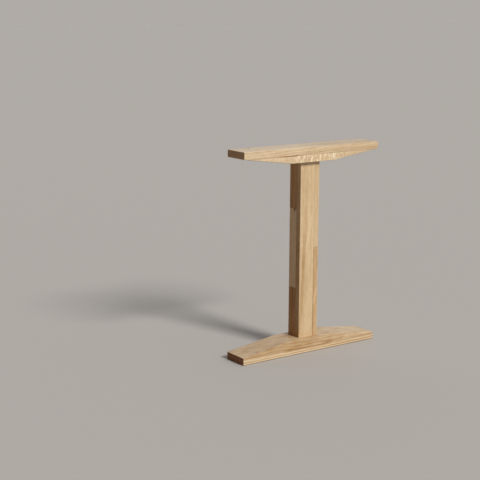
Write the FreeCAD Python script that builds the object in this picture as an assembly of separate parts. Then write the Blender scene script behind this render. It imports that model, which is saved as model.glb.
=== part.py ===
"""Trestle table leg in laminated oak: a top rail and a foot rail, dowelled and glued to a post.

Millimetres. +Z is up, X runs along the rails, and -Y is the front. The origin is on the floor,
under the middle of the post.
"""
import FreeCAD, Part
import math
import os
from FreeCAD import Vector

# The leg as a whole
LEG_HEIGHT = 720.0
EDGE_RADIUS = 2.0

# Both rails: flat under the post, then tapered to the ends
RAIL_LENGTH = 575.0
RAIL_DEPTH = 97.0
RAIL_THICKNESS = 52.0
RAIL_END_THICKNESS = 25.0
RAIL_FLAT_LENGTH = 180.0
TAPER_BLEND_RADIUS = 80.0
TOP_OUTER_BOARD = 26.0
FOOT_OUTER_BOARD = 20.0

# Post, glued up from a front and a back layer of staves
POST_WIDTH = 81.0
POST_DEPTH = 60.0
FRONT_LAYER = 20.5
FRONT_NARROW_STAVE = 20.5
BACK_NARROW_STAVE = 29.0
FRONT_END_JOINT = 367.0
BACK_UPPER_END_JOINT = 505.0
BACK_LOWER_END_JOINT = 226.0

# Dowels between the post's ends and the rails, four at each joint
DOWEL_SPACING_X = 54.0
DOWEL_SPACING_Y = 36.0
DOWEL_DIAMETER = 12.0
DOWEL_IN_RAIL = 30.0
DOWEL_IN_POST = 40.0
DOWEL_CHAMFER = 1.0
DOWEL_CLEARANCE = 0.1
DOWEL_END_ROOM = 1.0

# Slotted screw holes for the table top, sunk from below
SCREW_SPACING_X = 440.0
SCREW_SPACING_Y = 56.0
SCREW_SLOT_WIDTH = 6.5
SCREW_SLOT_LENGTH = 14.0
SCREW_HEAD_WIDTH = 14.0

# How far a cutting tool runs past the face that it leaves by
CUT_MARGIN = 5.0

POST_LENGTH = LEG_HEIGHT - 2 * RAIL_THICKNESS
DOWEL_PLACES = [(side_x * DOWEL_SPACING_X / 2, side_y * DOWEL_SPACING_Y / 2)
                for side_x in (-1, 1) for side_y in (-1, 1)]


def cylinder(place, low, high, diameter):
    """An upright cylinder at a place in plan, between two heights."""
    return Part.makeCylinder(diameter / 2, high - low, Vector(place[0], place[1], low))


def turned(place, section):
    """A turned piece with an upright axis at a place in plan, from the radius and height of its corners."""
    x, y = place
    points = [Vector(x + radius, y, height) for radius, height in section]
    face = Part.Face(Part.makePolygon(points + points[:1]))
    return face.revolve(Vector(x, y, 0), Vector(0, 0, 1), 360)


def stadium(place, low, high, width, length):
    """An upright slot shape with round ends, its long side along X."""
    reach = (length - width) / 2
    radius = width / 2
    x, y = place
    left_low = Vector(x - reach, y - radius, low)
    right_low = Vector(x + reach, y - radius, low)
    right_high = Vector(x + reach, y + radius, low)
    left_high = Vector(x - reach, y + radius, low)
    right_end = Part.Arc(right_low, Vector(x + reach + radius, y, low), right_high)
    left_end = Part.Arc(left_high, Vector(x - reach - radius, y, low), left_low)
    edges = [
        Part.LineSegment(left_low, right_low).toShape(),
        right_end.toShape(),
        Part.LineSegment(right_high, left_high).toShape(),
        left_end.toShape(),
    ]
    return Part.Face(Part.Wire(edges)).extrude(Vector(0, 0, high - low))


def portion(shape, x=None, y=None, z=None):
    """What lies between limits along any of the axes; no limits on an axis means all of it."""
    box = shape.BoundBox
    whole = ((box.XMin, box.XMax), (box.YMin, box.YMax), (box.ZMin, box.ZMax))
    spans = [given or (low - CUT_MARGIN, high + CUT_MARGIN) for given, (low, high) in zip((x, y, z), whole)]
    sizes = [high - low for low, high in spans]
    corner = Vector(*[low for low, high in spans])
    return shape.common(Part.makeBox(*sizes, corner))


def at_top(shape):
    """The same shape at the other end of the leg, turned over about its mid-height."""
    flipped = shape.copy()
    flipped.rotate(Vector(0, 0, LEG_HEIGHT / 2), Vector(1, 0, 0), 180)
    return flipped


def taper_break(side):
    """The blended corner between the flat and a taper: its two tangent points and its middle."""
    run = (RAIL_LENGTH - RAIL_FLAT_LENGTH) / 2
    slope = math.atan2(RAIL_THICKNESS - RAIL_END_THICKNESS, run)
    tangent = TAPER_BLEND_RADIUS * math.tan(slope / 2)
    corner = RAIL_FLAT_LENGTH / 2
    centre_x = corner - tangent
    centre_z = RAIL_THICKNESS - TAPER_BLEND_RADIUS
    angles = (0.0, slope / 2, slope)
    return [Vector(side * (centre_x + TAPER_BLEND_RADIUS * math.sin(a)), 0,
                   centre_z + TAPER_BLEND_RADIUS * math.cos(a)) for a in angles]


def rail_blank():
    """A rail lying with its outer face down: tapered profile, all its outer edges eased."""
    half = RAIL_LENGTH / 2
    outer_left = Vector(-half, 0, 0)
    outer_right = Vector(half, 0, 0)
    end_left = Vector(-half, 0, RAIL_END_THICKNESS)
    end_right = Vector(half, 0, RAIL_END_THICKNESS)
    right_flat, right_middle, right_taper = taper_break(1)
    left_flat, left_middle, left_taper = taper_break(-1)
    edges = [
        Part.LineSegment(outer_left, outer_right).toShape(),
        Part.LineSegment(outer_right, end_right).toShape(),
        Part.LineSegment(end_right, right_taper).toShape(),
        Part.Arc(right_taper, right_middle, right_flat).toShape(),
        Part.LineSegment(right_flat, left_flat).toShape(),
        Part.Arc(left_flat, left_middle, left_taper).toShape(),
        Part.LineSegment(left_taper, end_left).toShape(),
        Part.LineSegment(end_left, outer_left).toShape(),
    ]
    blank = Part.Face(Part.Wire(edges)).extrude(Vector(0, RAIL_DEPTH, 0))
    blank.translate(Vector(0, -RAIL_DEPTH / 2, 0))
    return blank.makeFillet(EDGE_RADIUS, [edge for edge in blank.Edges if not is_blend_line(edge)])


def is_blend_line(edge):
    """True for the smooth lines across the rail where a taper's blend begins and ends."""
    middle = edge.CenterOfMass
    across = abs(middle.y) < RAIL_DEPTH / 4
    inner_face = middle.z > RAIL_END_THICKNESS
    between_ends = abs(middle.x) < RAIL_LENGTH / 2 - EDGE_RADIUS
    return across and inner_face and between_ends


def dowel_holes():
    """What the dowels take out of the foot and out of the post's lower end."""
    low = RAIL_THICKNESS - DOWEL_IN_RAIL - DOWEL_END_ROOM
    high = RAIL_THICKNESS + DOWEL_IN_POST + DOWEL_END_ROOM
    return [cylinder(place, low, high, DOWEL_DIAMETER + 2 * DOWEL_CLEARANCE) for place in DOWEL_PLACES]


def screw_slots():
    """Slots for the table top's screws: narrow in the upper board, wide enough for the head in the lower."""
    head_length = SCREW_SLOT_LENGTH + SCREW_HEAD_WIDTH - SCREW_SLOT_WIDTH
    tools = []
    for side_x in (-1, 1):
        for side_y in (-1, 1):
            place = (side_x * SCREW_SPACING_X / 2, side_y * SCREW_SPACING_Y / 2)
            tools.append(stadium(place, -CUT_MARGIN, TOP_OUTER_BOARD, SCREW_SLOT_WIDTH, SCREW_SLOT_LENGTH))
            tools.append(stadium(place, TOP_OUTER_BOARD, RAIL_THICKNESS + CUT_MARGIN,
                                 SCREW_HEAD_WIDTH, head_length))
    return tools


def foot_boards():
    """The foot's full-length lower board and the tapered board glued on it."""
    rail = rail_blank().cut(dowel_holes())
    return {
        "foot_lower_board": portion(rail, z=(-CUT_MARGIN, FOOT_OUTER_BOARD)),
        "foot_upper_board": portion(rail, z=(FOOT_OUTER_BOARD, RAIL_THICKNESS + CUT_MARGIN)),
    }


def top_rail_boards():
    """The top rail's full-length upper board and the tapered board glued under it."""
    rail = rail_blank().cut(dowel_holes() + screw_slots())
    outer = portion(rail, z=(-CUT_MARGIN, TOP_OUTER_BOARD))
    inner = portion(rail, z=(TOP_OUTER_BOARD, RAIL_THICKNESS + CUT_MARGIN))
    return {
        "top_rail_upper_board": at_top(outer),
        "top_rail_lower_board": at_top(inner),
    }


def post_blank():
    """The whole post with its upright edges eased and both its ends drilled."""
    corner = Vector(-POST_WIDTH / 2, -POST_DEPTH / 2, RAIL_THICKNESS)
    block = Part.makeBox(POST_WIDTH, POST_DEPTH, POST_LENGTH, corner)
    upright = [edge for edge in block.Edges if edge.BoundBox.ZLength > POST_LENGTH / 2]
    holes = dowel_holes()
    return block.makeFillet(EDGE_RADIUS, upright).cut(holes + [at_top(hole) for hole in holes])


def post_staves():
    """The post's staves: two layers, each of a wide and a narrow stave, with staggered end joints."""
    post = post_blank()
    layer_glue = -POST_DEPTH / 2 + FRONT_LAYER
    front = portion(post, y=(-POST_DEPTH / 2 - CUT_MARGIN, layer_glue))
    back = portion(post, y=(layer_glue, POST_DEPTH / 2 + CUT_MARGIN))
    left = -POST_WIDTH / 2 - CUT_MARGIN
    right = POST_WIDTH / 2 + CUT_MARGIN
    front_glue = POST_WIDTH / 2 - FRONT_NARROW_STAVE
    back_glue = -POST_WIDTH / 2 + BACK_NARROW_STAVE
    front_narrow = portion(front, x=(front_glue, right))
    back_narrow = portion(back, x=(left, back_glue))
    bottom = RAIL_THICKNESS - CUT_MARGIN
    top = LEG_HEIGHT - RAIL_THICKNESS + CUT_MARGIN
    return {
        "post_front_wide_stave": portion(front, x=(left, front_glue)),
        "post_front_narrow_stave_lower": portion(front_narrow, z=(bottom, FRONT_END_JOINT)),
        "post_front_narrow_stave_upper": portion(front_narrow, z=(FRONT_END_JOINT, top)),
        "post_back_wide_stave": portion(back, x=(back_glue, right)),
        "post_back_narrow_stave_lower": portion(back_narrow, z=(bottom, BACK_LOWER_END_JOINT)),
        "post_back_narrow_stave_middle": portion(back_narrow, z=(BACK_LOWER_END_JOINT, BACK_UPPER_END_JOINT)),
        "post_back_narrow_stave_upper": portion(back_narrow, z=(BACK_UPPER_END_JOINT, top)),
    }


def dowel(place):
    """A dowel across the joint between rail and post, chamfered at both ends."""
    low = RAIL_THICKNESS - DOWEL_IN_RAIL
    high = RAIL_THICKNESS + DOWEL_IN_POST
    radius = DOWEL_DIAMETER / 2
    return turned(place, [
        (0, low),
        (radius - DOWEL_CHAMFER, low),
        (radius, low + DOWEL_CHAMFER),
        (radius, high - DOWEL_CHAMFER),
        (radius - DOWEL_CHAMFER, high),
        (0, high),
    ])


def dowels():
    """The dowels of both joints, as one group of like solids."""
    lower = [dowel(place) for place in DOWEL_PLACES]
    return {"dowels": Part.makeCompound(lower + [at_top(solid) for solid in lower])}


def main():
    os.makedirs("parts", exist_ok=True)
    nodes = {}
    nodes.update(foot_boards())
    nodes.update(top_rail_boards())
    nodes.update(post_staves())
    nodes.update(dowels())
    for name, shape in nodes.items():
        shape.exportStep("parts/" + name + ".step")
        print(name, len(shape.Solids), "solids", round(shape.Volume), "mm3", shape.isValid())


main()
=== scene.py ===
"""Looks of the trestle table leg: boards and staves of oak, and beech dowels.

Metres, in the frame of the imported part: +Z up, X along the rails, -Y the front.
Colours are linear. A rim, or a change from one thing to another, is a pair of values: where it
begins and where it is complete.
"""
import bpy
import math
from dataclasses import dataclass
from functools import partial, reduce
from mathutils import Matrix, Vector


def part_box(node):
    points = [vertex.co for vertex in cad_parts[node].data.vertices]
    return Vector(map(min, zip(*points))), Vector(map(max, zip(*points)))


# Camera: place and turn in the part's frame, and its lens and sensor in millimetres
CAMERA_PLACE = Vector((-2.3818, -3.0187, 1.1803))
CAMERA_YAW = math.radians(-34.98)
CAMERA_PITCH_DOWN = math.radians(11.641)
CAMERA_ROLL = math.radians(0.216)
SENSOR_WIDTH = 36.0
LENS = 84.87

# Sun: the direction points from the leg to the light
SUN_DIRECTION = Vector((0.12, -0.72, 0.56))
SUN_STRENGTH = 2.84
SUN_WIDTH = math.radians(16.0)
SUN_COLOUR = (1.0, 0.98, 0.95)

# Sky: a direction's paleness is a base and a share of how far it points in depth, up and right
SKY_DIM = (0.085, 0.028, 0.008)
SKY_PALE = (0.55, 0.56, 0.57)
SKY_BEHIND = (0.63, 0.67, 0.72)
PALENESS_BASE = 0.1
PALENESS_IN_DEPTH = 0.5
PALENESS_UP = 0.19
PALENESS_RIGHT = 0.8
DIM_TO_PALE = (0.0, 0.6)
PALE_TO_BEHIND = (0.2, 0.8)
HORIZON_COLOUR = (0.433, 0.407, 0.3815)
HORIZON_RIM = (0.03, 0.06)

# Floor
FLOOR_COLOUR = (0.45, 0.430, 0.405)
FLOOR_ROUGHNESS = 0.9
FLOOR_SHINE = 0.1
FLOOR_REACH = 60.0
FLOOR_DROP = 0.0002

# Oak's colours; a tone of 0 is pale and 1 is brown, and the darkest streaks go past 1
PALE_OAK = (0.68, 0.525, 0.328)
BROWN_OAK = (0.42, 0.257, 0.114)
DARKEST_TONE = 1.4
RED_CAST = (1.03, 0.86, 0.74)
PORE_COLOUR = (0.22, 0.130, 0.060)
# Pale ray flecks; the same colour paints the eased edges paler, partly wear and partly a painted
# highlight
FLECK_AND_EDGE_HIGHLIGHT_COLOUR = (0.84, 0.70, 0.50)
# Dark glue lines; the same colour also paints the contact shadow along the floor
GLUE_AND_FLOOR_SHADOW_COLOUR = (0.13, 0.075, 0.035)
KNOT_COLOUR = (0.055, 0.030, 0.016)
# The end grain's own darkening together with painted shade on the shaded ends
END_GRAIN_AND_PAINTED_SHADE = (0.43, 0.262, 0.172)

# Oak's noise: scales in cycles per metre, across the grain and along it
WANDER_SCALES = (9.0, 2.4)
PORE_SCALES = (1300.0, 42.0)
STREAK_SCALES = (55.0, 1.3)
CLOUD_SCALES = (14.0, 5.0)
PATCH_SCALES = (70.0, 18.0)
PORE_DETAIL = 1.0
STREAK_DETAIL = 3.0
SEED_STEP = 3.7                  # metres of grain from one board's noise to the next one's
MOST_NOISE = (0.3, 0.7)          # levels that most of a noise lies between

# Oak's rings and pores
LOG_TAPER = 0.012                # how much a log narrows for each metre along it
RING_SCALE = 90.0                # cycles per metre of the rings' unevenness, out from the pith
RING_UNEVENNESS = 1.8            # in years
EARLY_TO_LATE_WOOD = (0.12, 0.6)  # in parts of a year
EARLY_WOOD_SHARE = 0.4
WOOD_TO_PORE = (0.56, 0.66)      # levels of noise
LATE_WOOD_PORES = 0.2            # share of the pores that late wood keeps

# Oak's ray figure: scales in cycles per metre, round the pith and out from it
RAYS_ROUND = 1300.0
RAYS_OUT = 34.0
RAY_DETAIL = 2.5
RAY_ROUGHNESS = 0.6
RAY_DISTORTION = 0.5
WOOD_TO_RAY = (0.48, 0.62)       # levels of noise
PLAIN_RAYS = 0.3                 # share of the figure that shows away from the figured stretch
FIGURE_FADE = 0.03
PALE_TO_DARK_RAYS = (0.35, 0.8)  # how squarely a face looks out from the pith

# Knots and the swirl of grain round them: rims in radii of the knot
KNOT_SQUASH = 0.6                # how wide a knot is for its length
KNOT_RIM = (0.6, 1.2)
SWIRL_RIM = (0.8, 4.5)
SWIRL_PUSH = 0.006               # how far it moves the rings
SWIRL_TONE = 0.3

# Stripes, edges and lines
STRIPE_RIM = (0.5, 1.5)          # in half widths of the stripe
STRIPE_STRAY = 0.006             # how far it strays from side to side
WHOLE_BOARD = 0.2                # half width of a stripe that takes in all of a board
EDGE_TO_FACE = (0.80, 0.985)     # the normal's largest part
SIDE_TO_END_GRAIN = (0.5, 0.9)   # the normal's part along the grain
GLUE_RIM = (0.0002, 0.0007)
# The painted contact shadow along the foot's lower edge: where it begins over the underside, and its fade
UNDERSIDE_TO_PAINTED_SHADOW = (0.0001, 0.0004)
PAINTED_FLOOR_SHADOW_RIM = (0.6, 1.4)      # in heights of the line

# How strongly they show
CLOUD_TONE = 0.5
LEAST_RED = 0.6                  # share of a board's red cast where it is least
PORE_STRENGTH = 0.45
GLUE_STRENGTH = 0.85
KNOT_STRENGTH = 0.9
# Strength of the painted contact shadow
PAINTED_FLOOR_SHADOW_STRENGTH = 0.95

# Oak's surface; depths and heights are in shares of the bump's distance
STAVE_SHINE = 0.2
CLOUD_ROUGHNESS = 0.16
PORE_ROUGHNESS = 0.2
END_GRAIN_ROUGHNESS = 0.95
PORE_DEPTH = 1.0
EARLY_WOOD_DEPTH = 0.35
RAY_HEIGHT = 0.25
BUMP_STRENGTH = 0.35
BUMP_DISTANCE = 0.0004

# Beech: scales in cycles per metre along X, Y and Z, which is the dowels' length
BEECH_PALE = (0.62, 0.44, 0.29)
BEECH_BROWN = (0.50, 0.33, 0.20)
BEECH_FLECK = (0.34, 0.19, 0.10)
BEECH_FLECK_SCALES = (900.0, 900.0, 160.0)
BEECH_FLECK_DETAIL = 1.0
BEECH_STREAK_SCALES = (220.0, 220.0, 12.0)
BEECH_STREAK_DETAIL = 3.0
BEECH_WOOD_TO_FLECK = (0.58, 0.68)
BEECH_ROUGHNESS = (0.5, 0.68)
BEECH_BUMP_STRENGTH = 0.2
BEECH_BUMP_DISTANCE = 0.0003

AXES = "XYZ"


class Nodes:
    """Adds nodes to a node tree. A value is a number, a tuple or another node's socket."""

    def __init__(self, tree):
        self.tree = tree

    def add(self, kind, **settings):
        node = self.tree.nodes.new("ShaderNode" + kind)
        for name, value in settings.items():
            setattr(node, name, value)
        return node

    def feed(self, socket, value):
        if isinstance(value, bpy.types.NodeSocket):
            self.tree.links.new(value, socket)
        else:
            socket.default_value = value

    def fill(self, node, *values):
        """Feeds a node's inputs in their order, and gives its first output."""
        for socket, value in zip(node.inputs, values):
            self.feed(socket, value)
        return node.outputs[0]

    def math(self, operation, *values):
        return self.fill(self.add("Math", operation=operation), *values)

    def total(self, *values):
        return reduce(partial(self.math, "ADD"), values)

    def product(self, *values):
        return reduce(partial(self.math, "MULTIPLY"), values)

    def largest(self, *values):
        return reduce(partial(self.math, "MAXIMUM"), values)

    def swing(self, value, size, middle=0.5):
        """How far a value is from its middle, times a size."""
        return self.product(self.math("SUBTRACT", value, middle), size)

    def ramp(self, value, low, high, start=0.0, end=1.0):
        """Goes smoothly from start to end as the value goes from low to high."""
        node = self.add("MapRange", interpolation_type="SMOOTHSTEP")
        return self.fill(node, value, low, high, start, end)

    def fall(self, value, low, high):
        """Goes smoothly from 1 to 0 as the value goes from low to high."""
        return self.ramp(value, low, high, 1.0, 0.0)

    def mix(self, share, first, second, blend="MIX", clamp=True):
        """Blends this share of the second colour into the first."""
        node = self.add("Mix", data_type="RGBA", blend_type=blend, clamp_factor=clamp)
        self.feed(node.inputs["Factor"], share)
        for name, colour in (("A", first), ("B", second)):
            opaque = (*colour, 1.0) if isinstance(colour, tuple) else colour
            self.feed(node.inputs[name], opaque)
        return node.outputs["Result"]

    def join(self, x, y, z):
        return self.fill(self.add("CombineXYZ"), x, y, z)

    def split(self, vector):
        node = self.add("SeparateXYZ")
        self.fill(node, vector)
        return list(node.outputs)

    def noise(self, place, scales, detail=2.0, roughness=0.5, distortion=0.0):
        """Noise at a place of three values, each with its own scale in cycles per metre."""
        scaled = [self.product(value, scale) for value, scale in zip(place, scales)]
        node = self.add("TexNoise")
        self.feed(node.inputs["Vector"], self.join(*scaled))
        self.feed(node.inputs["Scale"], 1.0)
        self.feed(node.inputs["Detail"], detail)
        self.feed(node.inputs["Roughness"], roughness)
        self.feed(node.inputs["Distortion"], distortion)
        return node.outputs


class Shader(Nodes):
    """The nodes of one material."""

    def __init__(self, name):
        self.material = bpy.data.materials.new(name)
        self.material.use_nodes = True
        super().__init__(self.material.node_tree)
        self.surface = self.tree.nodes["Principled BSDF"]

    def set_input(self, name, value):
        """Sets or links one of the surface's own sockets."""
        self.feed(self.surface.inputs[name], value)

    def bump(self, height, strength, distance):
        node = self.add("Bump")
        self.feed(node.inputs["Height"], height)
        self.feed(node.inputs["Strength"], strength)
        self.feed(node.inputs["Distance"], distance)
        self.set_input("Normal", node.outputs[0])


@dataclass
class Stripe:
    """A stripe of browner or, with a tone below 0, paler wood along a board."""
    axis: str                    # the axis that it is measured across
    middle: float
    half_width: float
    tone: float
    slope: float = 0.0           # how much its middle moves for each metre along the grain
    start: float = -1.0          # where it fades in and out along the grain
    end: float = 1.0
    fade: float = 0.02           # half the length of those fades


@dataclass
class Knot:
    """A small dark knot, longer along the grain than across it."""
    place: tuple
    radius: float


@dataclass
class Timber:
    """How one board or stave was sawn. Places are in the part's frame."""
    along: str                   # the axis that the grain follows
    pith: tuple                  # the log's centre, across the grain
    seed: float                  # sets this board's noise apart
    tone: float                  # from 0, pale, to 1, brown
    ring: float = 0.0028         # width of a year's growth
    ring_contrast: float = 0.35
    wander: float = 0.016        # how far the grain strays from side to side
    red: float = 0.0             # from 0, as sawn, to 1, reddish
    fleck: float = 0.25          # strength of the ray figure
    ray_pitch: float = 0.020     # spacing of the ray figure along the grain
    figured: tuple = (-1.0, 1.0)  # where along the grain the ray figure is strongest
    streak: float = 1.0          # strength of the long streaks
    patch: float = 0.6           # strength of the small patches
    # The eased edges' paleness is partly wear and partly a painted highlight along the arrises
    wear: float = 0.3            # how much paler the eased edges are
    # The dark line just above the floor is a painted contact shadow
    floor_line: float = 0.0      # height of the dark line just above the floor
    shine: float = 0.65          # specular level
    roughness: float = 0.40      # of the smoothest places
    # The end grain's darkness is partly its own and partly painted shade
    end_shade: float = 0.5       # how dark the end grain is
    glue: tuple = ()             # glue planes, each an axis and a place
    stripes: tuple = ()
    knots: tuple = ()


class Oak(Shader):
    """Oak as a solid texture: rings round a pith, rows of pores, and rays that run out from the pith."""

    def __init__(self, node, timber):
        super().__init__(node)
        self.timber = timber
        coordinates = self.add("TexCoord")
        self.place = dict(zip(AXES, self.split(coordinates.outputs["Object"])))
        self.normal = dict(zip(AXES, self.split(coordinates.outputs["Normal"])))
        self.across = [axis for axis in AXES if axis != timber.along]
        self.run = self.place[timber.along]
        self.noise_run = self.total(self.run, SEED_STEP * timber.seed)
        self.find_knots()
        self.find_log()
        self.find_rings()
        self.find_rays(distance_to_pith(node, timber))
        self.find_unevenness()
        self.find_end_grain()
        self.set_input("Base Color", self.marked(self.plain_colour()))
        self.set_gloss()
        self.set_relief()

    def grain_noise(self, scales, detail=2.0):
        """Noise stretched along the grain."""
        across_scale, along_scale = scales
        place = [self.place[self.across[0]], self.place[self.across[1]], self.noise_run]
        return self.noise(place, (across_scale, across_scale, along_scale), detail)

    def between(self, start, end, fade):
        """1 on this stretch of the grain, and 0 away from it."""
        begun = self.ramp(self.run, start - fade, start + fade)
        ended = self.fall(self.run, end - fade, end + fade)
        return self.product(begun, ended)

    def radii_from(self, knot):
        """How far away a knot is, in its own radii."""
        squares = []
        for axis, middle in zip(AXES, knot.place):
            squash = KNOT_SQUASH if axis == self.timber.along else 1.0
            side = self.swing(self.place[axis], squash / knot.radius, middle)
            squares.append(self.product(side, side))
        return self.math("SQRT", self.total(*squares))

    def find_knots(self):
        """1 in a knot, and the swirl of grain round it, from 1 at the knot to 0 away from it."""
        self.knot = 0.0
        self.swirl = 0.0
        for knot in self.timber.knots:
            away = self.radii_from(knot)
            self.knot = self.largest(self.knot, self.fall(away, *KNOT_RIM))
            self.swirl = self.largest(self.swirl, self.fall(away, *SWIRL_RIM))

    def find_log(self):
        """The distance from the pith and the bearing round it, with a slow wander along the length."""
        stray = self.split(self.grain_noise(WANDER_SCALES)["Color"])
        offsets = []
        for axis, pith, drift in zip(self.across, self.timber.pith, stray):
            offsets.append(self.total(self.place[axis], -pith, self.swing(drift, self.timber.wander)))
        u, v = offsets
        from_pith = self.math("SQRT", self.total(self.product(u, u), self.product(v, v)))
        self.radius = self.total(from_pith, self.product(self.swirl, SWIRL_PUSH))
        self.bearing = self.math("ARCTAN2", v, u)
        outward = self.total(self.product(u, self.normal[self.across[0]]),
                             self.product(v, self.normal[self.across[1]]))
        self.flat_sawn = self.math("ABSOLUTE", self.math("DIVIDE", outward, self.radius))

    def find_rings(self):
        """The rings' early wood and its pores, each from 0 to 1."""
        uneven = self.noise([self.radius, 0.0, self.timber.seed], (RING_SCALE, 1.0, 1.0))["Fac"]
        growth = self.total(self.radius, self.product(self.run, LOG_TAPER))
        years = self.total(self.math("DIVIDE", growth, self.timber.ring),
                           self.product(uneven, RING_UNEVENNESS))
        self.early_wood = self.fall(self.math("FRACT", years), *EARLY_TO_LATE_WOOD)
        pores = self.ramp(self.grain_noise(PORE_SCALES, PORE_DETAIL)["Fac"], *WOOD_TO_PORE)
        self.pores = self.product(pores, self.ramp(self.early_wood, 0.0, 1.0, LATE_WOOD_PORES, 1.0))

    def find_rays(self, reach):
        """The ray figure, from 0 to 1, at about this reach from the pith."""
        place = [self.bearing, self.radius, self.noise_run]
        scales = (RAYS_ROUND * reach, RAYS_OUT, 1.0 / self.timber.ray_pitch)
        noise = self.noise(place, scales, RAY_DETAIL, RAY_ROUGHNESS, RAY_DISTORTION)["Fac"]
        figured = self.between(*self.timber.figured, FIGURE_FADE)
        shown = self.ramp(figured, 0.0, 1.0, PLAIN_RAYS, 1.0)
        self.rays = self.product(self.ramp(noise, *WOOD_TO_RAY), shown)

    def find_unevenness(self):
        """Long streaks, broad clouds and small patches, each a noise about 0.5."""
        self.streaks = self.grain_noise(STREAK_SCALES, STREAK_DETAIL)["Fac"]
        self.clouds = self.grain_noise(CLOUD_SCALES)["Fac"]
        self.patches = self.grain_noise(PATCH_SCALES)["Fac"]

    def find_end_grain(self):
        """1 on faces that cut across the grain."""
        along_grain = self.math("ABSOLUTE", self.normal[self.timber.along])
        self.end_grain = self.ramp(along_grain, *SIDE_TO_END_GRAIN)

    def stripe_tone(self):
        """The tone that the stripes add."""
        tone = 0.0
        stray = self.swing(self.clouds, STRIPE_STRAY)
        for stripe in self.timber.stripes:
            slant = self.swing(self.run, -stripe.slope, (stripe.start + stripe.end) / 2)
            offset = self.total(self.place[stripe.axis], -stripe.middle, stray, slant)
            rim = [share * stripe.half_width for share in STRIPE_RIM]
            inside = self.fall(self.math("ABSOLUTE", offset), *rim)
            share = self.product(inside, self.between(stripe.start, stripe.end, stripe.fade))
            tone = self.total(tone, self.product(share, stripe.tone))
        return tone

    def edge_wear(self):
        """1 on the eased edges, where the surface turns from one face to the next."""
        sizes = [self.math("ABSOLUTE", self.normal[axis]) for axis in AXES]
        return self.fall(self.largest(*sizes), *EDGE_TO_FACE)

    def glue_lines(self):
        """1 on the thin dark lines where this board is glued to its neighbours."""
        line = 0.0
        for axis, middle in self.timber.glue:
            away = self.math("ABSOLUTE", self.math("SUBTRACT", self.place[axis], middle))
            line = self.largest(line, self.fall(away, *GLUE_RIM))
        return line

    def floor_line(self):
        """1 on the painted contact shadow along the lower edge, and 0 on the underside."""
        height = self.place["Z"]
        rim = [share * self.timber.floor_line for share in PAINTED_FLOOR_SHADOW_RIM]
        return self.product(self.ramp(height, *UNDERSIDE_TO_PAINTED_SHADOW), self.fall(height, *rim))

    def plain_colour(self):
        """Pale to brown oak, with its red cast."""
        timber = self.timber
        tone = self.total(timber.tone,
                          self.swing(self.streaks, timber.streak),
                          self.swing(self.clouds, CLOUD_TONE),
                          self.swing(self.patches, timber.patch),
                          self.swing(self.early_wood, timber.ring_contrast, EARLY_WOOD_SHARE),
                          self.product(self.swirl, SWIRL_TONE),
                          self.stripe_tone())
        bounded = self.math("MINIMUM", self.math("MAXIMUM", tone, 0.0), DARKEST_TONE)
        colour = self.mix(bounded, PALE_OAK, BROWN_OAK, clamp=False)
        red = self.ramp(self.clouds, *MOST_NOISE, LEAST_RED * timber.red, timber.red)
        return self.mix(red, colour, RED_CAST, "MULTIPLY")

    def marked(self, colour):
        """The colour with rays and pores, edges paled by wear and a painted highlight, end grain darkened
        partly by painted shade, glue lines, knots and the painted floor shadow.
        """
        timber = self.timber
        fleck = self.mix(self.ramp(self.flat_sawn, *PALE_TO_DARK_RAYS), FLECK_AND_EDGE_HIGHLIGHT_COLOUR, PORE_COLOUR)
        colour = self.mix(self.product(self.rays, timber.fleck), colour, fleck)
        colour = self.mix(self.product(self.pores, PORE_STRENGTH), colour, PORE_COLOUR)
        # Paler eased edges: partly wear, partly a painted highlight
        colour = self.mix(self.product(self.edge_wear(), timber.wear), colour, FLECK_AND_EDGE_HIGHLIGHT_COLOUR)
        # End grain darker: partly its own darkness, partly painted shade
        shade = self.product(self.end_grain, timber.end_shade)
        colour = self.mix(shade, colour, END_GRAIN_AND_PAINTED_SHADE, "MULTIPLY")
        colour = self.mix(self.product(self.glue_lines(), GLUE_STRENGTH), colour, GLUE_AND_FLOOR_SHADOW_COLOUR)
        if timber.knots:
            colour = self.mix(self.product(self.knot, KNOT_STRENGTH), colour, KNOT_COLOUR)
        # Painted contact shadow: a dark line just above the floor along the lower edge
        if timber.floor_line:
            colour = self.mix(self.product(self.floor_line(), PAINTED_FLOOR_SHADOW_STRENGTH), colour, GLUE_AND_FLOOR_SHADOW_COLOUR)
        return colour

    def set_gloss(self):
        """Roughness, which is highest on end grain and in pores, and the specular level."""
        side_grain = self.total(self.timber.roughness, self.product(self.clouds, CLOUD_ROUGHNESS),
                                self.product(self.pores, PORE_ROUGHNESS))
        end_grain = self.product(self.end_grain, END_GRAIN_ROUGHNESS)
        self.set_input("Roughness", self.largest(side_grain, end_grain))
        self.set_input("Specular IOR Level", self.timber.shine)

    def set_relief(self):
        """Sunken pores and early wood, and rays that stand a little proud."""
        height = self.total(self.product(self.pores, -PORE_DEPTH),
                            self.product(self.early_wood, -EARLY_WOOD_DEPTH),
                            self.product(self.rays, RAY_HEIGHT))
        self.bump(height, BUMP_STRENGTH, BUMP_DISTANCE)


def distance_to_pith(node, timber):
    """How far a board's middle lies from the centre of its log."""
    low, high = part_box(node)
    middle = (low + high) / 2
    across = [place for axis, place in zip(AXES, middle) if axis != timber.along]
    return math.dist(across, timber.pith)


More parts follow.
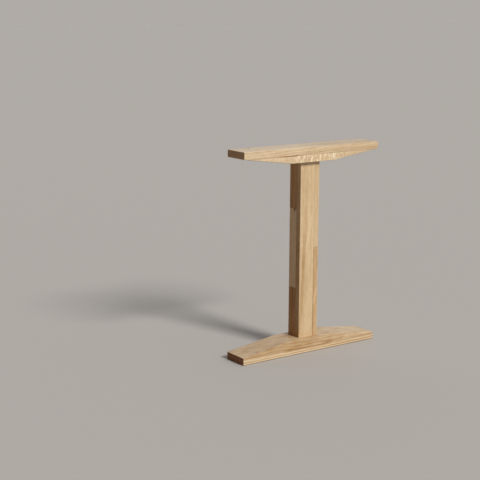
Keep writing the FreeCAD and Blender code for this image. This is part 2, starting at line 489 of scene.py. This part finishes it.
def top_rail_timbers():
    """The top rail's boards: a pale one over one with a stretch of ray figure."""
    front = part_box("top_rail_lower_board")[0].y
    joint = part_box("top_rail_lower_board")[1].z
    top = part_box("top_rail_upper_board")[1].z
    board = partial(Timber, "X", glue=(("Z", joint),))
    # Painted shade: the top face and its front arris browner
    painted_shade_on_top = Stripe("Z", top, 0.0025, tone=0.28)
    browner_edge = Stripe("Z", top, 0.005, tone=0.16, start=0.06, fade=0.08)
    browner_half = Stripe("Z", top, WHOLE_BOARD, tone=0.08, start=0.02, fade=0.08)
    brown_streak = Stripe("Z", top - 0.020, 0.007, tone=0.33, start=-0.06, fade=0.04)
    dark_joint = Stripe("Z", joint, 0.0015, tone=1.2, start=-0.15, end=-0.06, fade=0.015)
    return {
        "top_rail_upper_board": board(
            pith=(0.11, top + 0.05), seed=1.0, tone=0.12, shine=0.9, roughness=0.34, end_shade=0.7,
            stripes=(painted_shade_on_top, browner_edge, browner_half, brown_streak, dark_joint)),
        "top_rail_lower_board": board(
            pith=(front + 0.004, top - 0.20), seed=2.0, tone=0.36, wander=0.0024, fleck=0.9,
            ray_pitch=0.0065, figured=(-0.07, 0.13), end_shade=0.8, stripes=(dark_joint,)),
    }


def foot_timbers():
    """The foot's boards: a pale one with fine lines under a brown one."""
    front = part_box("foot_upper_board")[0].y
    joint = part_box("foot_lower_board")[1].z
    # The foot's ends take the full darkening, partly painted shade for their place low by the floor
    board = partial(Timber, "X", end_shade=1.0, glue=(("Z", joint),))
    low_pale_line = Stripe("Z", 0.0048, 0.0012, tone=-0.4)
    brown_line = Stripe("Z", 0.0085, 0.0016, tone=0.7)
    high_pale_line = Stripe("Z", 0.0130, 0.0018, tone=-0.2)
    browner_half = Stripe("Z", 0.0, WHOLE_BOARD, tone=0.11, start=0.0, fade=0.10)
    brown_joint = Stripe("Z", joint - 0.0022, 0.003, tone=0.6, start=-0.12, end=0.09)
    paler_end = Stripe("Y", 0.0, WHOLE_BOARD, tone=-0.19, start=0.095, fade=0.012)
    browner_edge = Stripe("Y", front, 0.002, tone=0.16, end=-0.05, fade=0.04)
    return {
        "foot_lower_board": board(
            # The lower board carries the painted contact shadow along the floor
            pith=(-0.16, -0.05), seed=3.0, tone=0.24, floor_line=0.0022,
            stripes=(low_pale_line, brown_line, high_pale_line, browner_half, brown_joint)),
        "foot_upper_board": board(
            pith=(0.07, 0.0), seed=4.0, tone=0.74, wander=0.020, ring=0.0032, streak=0.6, patch=1.4,
            wear=0.1, stripes=(paler_end, browner_edge)),
    }


def front_stave_timbers():
    """The staves of the post's front layer: a wide one beside a narrow one in two lengths."""
    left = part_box("post_front_wide_stave")[0].x
    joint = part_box("post_front_wide_stave")[1].x
    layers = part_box("post_back_wide_stave")[0].y
    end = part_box("post_front_narrow_stave_upper")[0].z
    side_glue = (("Y", layers), ("X", joint))
    stave = partial(Timber, "Z", shine=STAVE_SHINE)
    narrow_stave = partial(stave, glue=(*side_glue, ("Z", end)))
    # Painted shade: the stave's left side, and a thin strip of its front beside it, browner
    painted_shade_left_side = Stripe("X", left, 0.002, tone=0.68)
    browner_half = Stripe("X", 0.0, WHOLE_BOARD, tone=0.10, end=0.40, fade=0.10)
    long_streak = Stripe("X", left + 0.015, 0.006, tone=0.28, slope=0.044, start=0.0, end=0.56, fade=0.08)
    low_streak = Stripe("X", left + 0.0125, 0.006, tone=0.2, slope=0.044, start=0.10, end=0.35, fade=0.06)
    high_streak = Stripe("X", left + 0.0205, 0.006, tone=0.15, start=0.61, fade=0.03)
    pale_streak = Stripe("X", left + 0.0385, 0.0028, tone=-0.40, slope=0.19, start=0.365, end=0.475)
    joint_edge = Stripe("X", joint, 0.002, tone=0.4)
    slanting_streak = Stripe("X", joint + 0.009, 0.003, tone=-0.45, slope=0.265, start=0.165, end=0.222,
                             fade=0.01)
    return {
        "post_front_wide_stave": stave(
            pith=(-0.09, 0.06), seed=5.0, tone=0.23, glue=side_glue,
            stripes=(painted_shade_left_side, browner_half, long_streak, low_streak, high_streak, pale_streak)),
        "post_front_narrow_stave_upper": narrow_stave(pith=(0.12, 0.04), seed=6.0, tone=0.40),
        "post_front_narrow_stave_lower": narrow_stave(
            pith=(0.10, 0.05), seed=7.0, tone=0.64, red=0.3, stripes=(joint_edge, slanting_streak)),
    }


def back_stave_timbers():
    """The staves of the post's back layer: a wide one beside a narrow one in three lengths."""
    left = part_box("post_back_narrow_stave_middle")[0].x
    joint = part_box("post_back_wide_stave")[0].x
    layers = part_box("post_back_wide_stave")[0].y
    upper_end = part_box("post_back_narrow_stave_upper")[0].z
    lower_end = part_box("post_back_narrow_stave_lower")[1].z
    side_glue = (("Y", layers), ("X", joint))
    upper_glue = ("Z", upper_end)
    lower_glue = ("Z", lower_end)
    stave = partial(Timber, "Z", shine=STAVE_SHINE)
    brown_stave = partial(stave, ring=0.0034, ring_contrast=0.45)
    upper_line = Stripe("Y", layers + 0.0065, 0.0015, tone=0.5, end=upper_end + 0.020)
    lower_line = Stripe("Y", layers + 0.0065, 0.0015, tone=0.4, start=0.17, end=lower_end + 0.014)
    wide_line = Stripe("Y", layers + 0.0175, 0.002, tone=0.5, start=0.14, end=lower_end + 0.014)
    knot = Knot((left, layers + 0.0105, upper_end - 0.0035), 0.004)
    return {
        "post_back_wide_stave": stave(
            pith=(0.05, 0.14), seed=8.0, tone=0.35, wander=0.024, glue=side_glue),
        # The upper and lower narrow staves' brown, reddish tone is partly their own colour and partly
        # painted shade of the post's left side
        "post_back_narrow_stave_upper": brown_stave(
            pith=(0.08, 0.10), seed=9.0, tone=1.12, red=0.7, glue=(*side_glue, upper_glue),
            stripes=(upper_line,)),
        "post_back_narrow_stave_middle": stave(
            pith=(-0.15, 0.06), seed=10.0, tone=0.05, red=0.35, glue=(*side_glue, upper_glue, lower_glue),
            knots=(knot,)),
        "post_back_narrow_stave_lower": brown_stave(
            pith=(0.06, -0.08), seed=11.0, tone=1.05, red=0.8, glue=(*side_glue, lower_glue),
            stripes=(wide_line, lower_line)),
    }


def beech():
    """Turned beech: even pinkish wood with fine short flecks."""
    shader = Shader("beech")
    place = shader.split(shader.add("TexCoord").outputs["Object"])
    fleck_noise = shader.noise(place, BEECH_FLECK_SCALES, BEECH_FLECK_DETAIL)["Fac"]
    flecks = shader.ramp(fleck_noise, *BEECH_WOOD_TO_FLECK)
    streaks = shader.noise(place, BEECH_STREAK_SCALES, BEECH_STREAK_DETAIL)["Fac"]
    wood = shader.mix(streaks, BEECH_PALE, BEECH_BROWN)
    shader.set_input("Base Color", shader.mix(flecks, wood, BEECH_FLECK))
    shader.set_input("Roughness", shader.ramp(streaks, *MOST_NOISE, *BEECH_ROUGHNESS))
    shader.bump(flecks, BEECH_BUMP_STRENGTH, BEECH_BUMP_DISTANCE)
    return shader.material


def dress(nodes):
    """Gives every node its material."""
    timbers = top_rail_timbers() | foot_timbers() | front_stave_timbers() | back_stave_timbers()
    looks = {name: Oak(name, timber).material for name, timber in timbers.items()}
    looks["dowels"] = beech()
    for name, material in looks.items():
        mesh = nodes[name].data
        mesh.materials.clear()
        mesh.materials.append(material)


def set_camera():
    """A camera at the photograph's viewing angle, and colours shown as they are."""
    camera = bpy.data.objects.new("camera", bpy.data.cameras.new("camera"))
    bpy.context.scene.collection.objects.link(camera)
    camera.data.sensor_width = SENSOR_WIDTH
    camera.data.lens = LENS
    turn = Matrix.Rotation(CAMERA_YAW, 4, "Z")
    tilt = Matrix.Rotation(math.pi / 2 - CAMERA_PITCH_DOWN, 4, "X")
    roll = Matrix.Rotation(CAMERA_ROLL, 4, "Z")
    camera.matrix_world = Matrix.Translation(CAMERA_PLACE) @ turn @ tilt @ roll
    bpy.context.scene.camera = camera
    bpy.context.scene.view_settings.view_transform = "Standard"


def set_sun():
    """A broad soft light in front and up, a little to the right."""
    data = bpy.data.lights.new("sun", "SUN")
    data.energy = SUN_STRENGTH
    data.angle = SUN_WIDTH
    data.color = SUN_COLOUR
    sun = bpy.data.objects.new("sun", data)
    bpy.context.scene.collection.objects.link(sun)
    sun.rotation_euler = SUN_DIRECTION.to_track_quat("Z", "Y").to_euler()


def set_sky():
    """A sky that is pale in front and on the right, brighter behind and dim on the left.

    Near the horizon it has the colour of the far floor.
    """
    world = bpy.data.worlds.new("sky")
    world.use_nodes = True
    nodes = Nodes(world.node_tree)
    x, y, z = nodes.split(nodes.add("TexCoord").outputs["Generated"])
    in_depth = nodes.product(nodes.math("ABSOLUTE", y), PALENESS_IN_DEPTH)
    up = nodes.product(nodes.math("MAXIMUM", z, 0.0), PALENESS_UP)
    right = nodes.product(x, PALENESS_RIGHT)
    paleness = nodes.total(PALENESS_BASE, in_depth, up, right)
    pale = nodes.mix(nodes.ramp(y, *PALE_TO_BEHIND), SKY_PALE, SKY_BEHIND)
    colour = nodes.mix(nodes.ramp(paleness, *DIM_TO_PALE), SKY_DIM, pale)
    near_horizon = nodes.fall(nodes.math("ABSOLUTE", z), *HORIZON_RIM)
    sky = nodes.mix(near_horizon, colour, HORIZON_COLOUR)
    nodes.feed(world.node_tree.nodes["Background"].inputs["Color"], sky)
    bpy.context.scene.world = world


def lay_floor():
    """A plain pale floor."""
    sides = (-FLOOR_REACH, FLOOR_REACH)
    corners = [(x, y, -FLOOR_DROP) for x in sides for y in sides]
    mesh = bpy.data.meshes.new("floor")
    mesh.from_pydata(corners, [], [(0, 2, 3, 1)])
    floor = bpy.data.objects.new("floor", mesh)
    bpy.context.scene.collection.objects.link(floor)
    shader = Shader("floor")
    shader.set_input("Base Color", (*FLOOR_COLOUR, 1.0))
    shader.set_input("Roughness", FLOOR_ROUGHNESS)
    shader.set_input("Specular IOR Level", FLOOR_SHINE)
    mesh.materials.append(shader.material)


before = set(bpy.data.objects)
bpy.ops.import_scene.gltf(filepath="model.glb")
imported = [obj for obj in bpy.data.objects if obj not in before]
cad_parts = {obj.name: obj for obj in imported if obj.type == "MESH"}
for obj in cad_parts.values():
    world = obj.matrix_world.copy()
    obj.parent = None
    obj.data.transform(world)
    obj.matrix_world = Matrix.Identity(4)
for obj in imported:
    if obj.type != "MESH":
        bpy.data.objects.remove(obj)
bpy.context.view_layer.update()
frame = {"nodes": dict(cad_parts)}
dress(frame["nodes"])
set_camera()
set_sun()
set_sky()
lay_floor()
